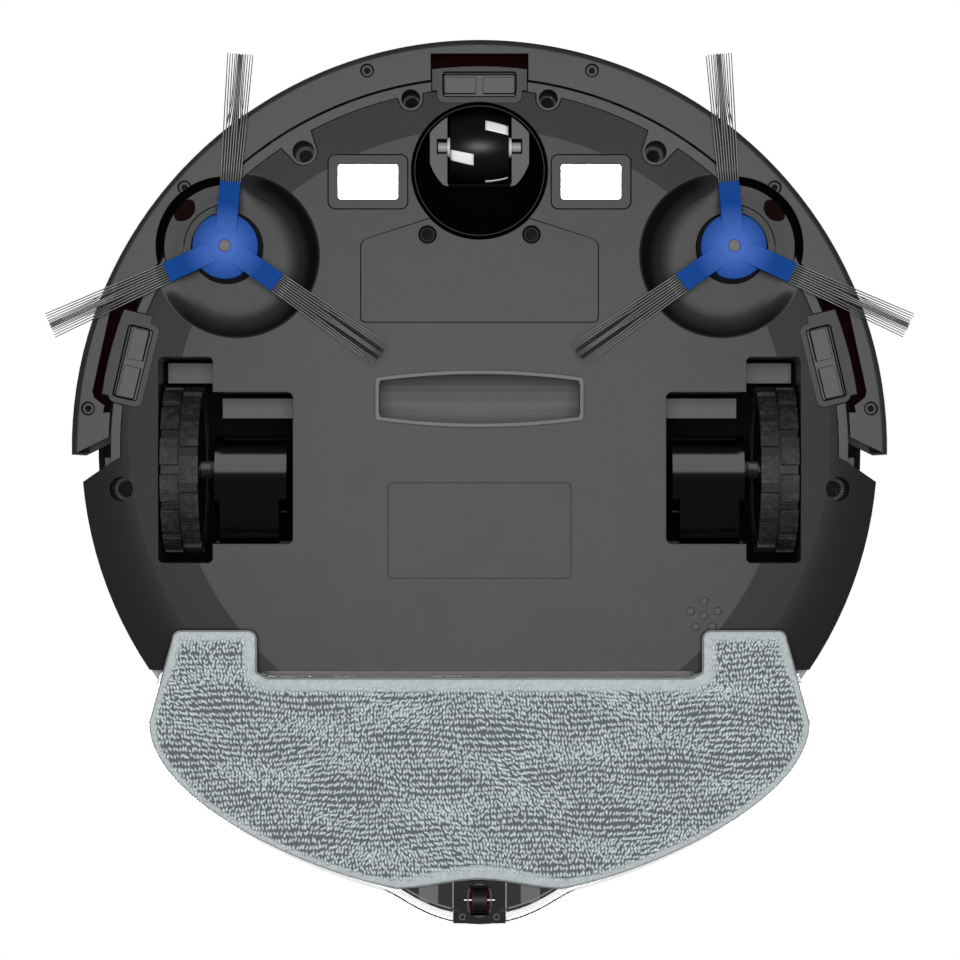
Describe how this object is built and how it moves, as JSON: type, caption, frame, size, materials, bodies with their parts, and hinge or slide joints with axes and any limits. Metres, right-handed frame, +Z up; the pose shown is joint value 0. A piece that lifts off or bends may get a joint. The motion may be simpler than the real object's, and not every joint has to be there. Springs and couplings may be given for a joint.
{
  "type": "robot vacuum",
  "caption": "Round robot vacuum with a suction mouth, side brushes, sprung drive wheels, swivel caster, push-in bumper, slide-out dust bin and clip-on mop.",
  "frame": {"origin": "on the floor, under the middle of the machine's bounding box", "axes": "+Z up, -Y towards the front bumper, +X across the wheels; the mop's tail points along +Y"},
  "size_m": [0.3446, 0.352, 0.0733],
  "materials": {
    "base_plastic": "fine textured dark grey",
    "ring_plastic": "satin black",
    "cover_plastic": "gloss black",
    "inlay_gloss": "dark gloss",
    "light_guide": "milky",
    "battery_wrap": "shrink wrap",
    "board": "solder mask",
    "duct_plastic": "fine textured grey",
    "lip_plastic": "satin",
    "window_plastic": "satin grey window",
    "contact_metal": "plated",
    "gear_plastic": "natural white",
    "caster_black": "gloss black",
    "fork_plastic": "dark grey",
    "steel": "turned",
    "washer_plastic": "white",
    "screw_steel": "blackened",
    "bumper_plastic": "fine textured grey",
    "ir_window": "dark red, lets infrared through",
    "stop_rubber": "black",
    "small_black": "black",
    "blue_plastic": "satin blue",
    "bristle": "nylon",
    "brush_screw_grey": "grey",
    "module_black": "gloss black",
    "tyre_rubber": "moulded rubber",
    "bin_plastic": "smoke grey",
    "filter_paper": "pleated",
    "tank_clear": "clear smoke",
    "mop_black": "black",
    "cloth": "looped microfibre",
    "roller_rubber": "black"
  },
  "bodies": {
    "chassis": {"base_shell": "base_plastic", "body_ring": "ring_plastic", "top_cover": "cover_plastic", "top_inlay": "inlay_gloss", "light_ring": "light_guide", "battery_cover": "base_plastic", "battery_pack": "battery_wrap", "main_board": "board", "mouth_lip": "lip_plastic", "suction_duct": "duct_plastic", "cliff_windows": "window_plastic", "charge_contacts": "contact_metal", "contact_frames": "base_plastic", "brush_gearbox_left": "gear_plastic", "brush_gearbox_right": "gear_plastic", "caster_cup": "caster_black", "base_screws": "screw_steel", "battery_screws": "screw_steel", "bumper_stops": "stop_rubber", "bumper_switches": "small_black", "speaker": "small_black", "fan_housing": "small_black", "wheel_well_left": "base_plastic", "wheel_well_right": "base_plastic", "pivot_pins": "steel"},
    "bumper": {"bumper_shell": "bumper_plastic", "bumper_window": "ir_window", "bumper_screws": "screw_steel"},
    "button": {"start_button": "inlay_gloss"},
    "switch": {"power_switch": "small_black"},
    "fan": {"fan_rotor": "gear_plastic"},
    "brush_left": {"side_brush_left": "blue_plastic", "bristles_left": "bristle", "brush_screw_left": "brush_screw_grey"},
    "brush_right": {"side_brush_right": "blue_plastic", "bristles_right": "bristle", "brush_screw_right": "brush_screw_grey"},
    "caster": {"caster_fork": "fork_plastic", "caster_axle": "steel", "caster_washers": "washer_plastic"},
    "caster_roller": {"caster_wheel": "caster_black"},
    "arm_left": {"wheel_arm_left": "module_black", "wheel_spring_left": "steel"},
    "arm_right": {"wheel_arm_right": "module_black", "wheel_spring_right": "steel"},
    "wheel_left": {"wheel_rim_left": "module_black", "tyre_left": "tyre_rubber"},
    "wheel_right": {"wheel_rim_right": "module_black", "tyre_right": "tyre_rubber"},
    "bin": {"dust_bin": "bin_plastic", "bin_lid": "small_black", "bin_filter": "filter_paper"},
    "latch": {"bin_latch": "inlay_gloss"},
    "mop": {"water_tank": "tank_clear", "tank_cap": "small_black", "mop_plate": "mop_black", "mop_cloth": "cloth", "roller_housing": "bin_plastic"},
    "tail_roller": {"roller_axle": "steel", "rear_roller": "roller_rubber"}
  },
  "joints": [
    {"name": "bumper_push", "type": "slide", "parent": "chassis", "child": "bumper", "axis": [0, 1, 0], "range_m": [0, 0.003], "stiffness_N_per_m": 600, "springref_m": -0.002},
    {"name": "start_press", "type": "slide", "parent": "chassis", "child": "button", "axis": [0, 0, -1], "range_m": [0, 0.0008], "stiffness_N_per_m": 800, "springref_m": -0.0005},
    {"name": "power_rock", "type": "hinge", "parent": "chassis", "child": "switch", "pos_m": [-0.15092, 0.02977, 0.0365], "axis": [0, 0, 1], "range_deg": [-5, 5]},
    {"name": "fan_spin", "type": "hinge", "parent": "chassis", "child": "fan", "pos_m": [-0.088, 0.0705, 0.032], "axis": [0, 0, 1], "continuous": true},
    {"name": "brush_spin_left", "type": "hinge", "parent": "chassis", "child": "brush_left", "pos_m": [0.1012, -0.0937, 0.012], "axis": [0, 0, 1], "continuous": true, "deforming": ["bristles_left"]},
    {"name": "brush_spin_right", "type": "hinge", "parent": "chassis", "child": "brush_right", "pos_m": [-0.1012, -0.0937, 0.012], "axis": [0, 0, 1], "continuous": true, "deforming": ["bristles_right"]},
    {"name": "caster_swivel", "type": "hinge", "parent": "chassis", "child": "caster", "pos_m": [0, -0.1238, 0.038], "axis": [0, 0, 1], "continuous": true},
    {"name": "caster_roll", "type": "hinge", "parent": "caster", "child": "caster_roller", "pos_m": [0, -0.1333, 0.014], "axis": [1, 0, 0], "continuous": true},
    {"name": "suspension_left", "type": "hinge", "parent": "chassis", "child": "arm_left", "pos_m": [0.09, 0.0265, 0.03], "axis": [1, 0, 0], "range_deg": [0, 28], "stiffness_Nm_per_rad": 0.25, "springref_deg": 34.38, "deforming": ["wheel_spring_left"]},
    {"name": "suspension_right", "type": "hinge", "parent": "chassis", "child": "arm_right", "pos_m": [-0.09, 0.0265, 0.03], "axis": [1, 0, 0], "range_deg": [0, 28], "stiffness_Nm_per_rad": 0.25, "springref_deg": 34.38, "deforming": ["wheel_spring_right"]},
    {"name": "wheel_spin_left", "type": "hinge", "parent": "arm_left", "child": "wheel_left", "pos_m": [0.119, -0.0047, 0.0335], "axis": [1, 0, 0], "continuous": true},
    {"name": "wheel_spin_right", "type": "hinge", "parent": "arm_right", "child": "wheel_right", "pos_m": [-0.119, -0.0047, 0.0335], "axis": [1, 0, 0], "continuous": true},
    {"name": "bin_slide", "type": "slide", "parent": "chassis", "child": "bin", "axis": [0, 1, 0], "range_m": [0, 0.13]},
    {"name": "latch_press", "type": "slide", "parent": "bin", "child": "latch", "axis": [0, -1, 0], "range_m": [0, 0.002], "stiffness_N_per_m": 700, "springref_m": -0.0008},
    {"name": "mop_slide", "type": "slide", "parent": "chassis", "child": "mop", "axis": [0, 1, 0], "range_m": [0, 0.12]},
    {"name": "tail_roll", "type": "hinge", "parent": "mop", "child": "tail_roller", "pos_m": [0, 0.1659, 0.0047], "axis": [1, 0, 0], "continuous": true}
  ]
}
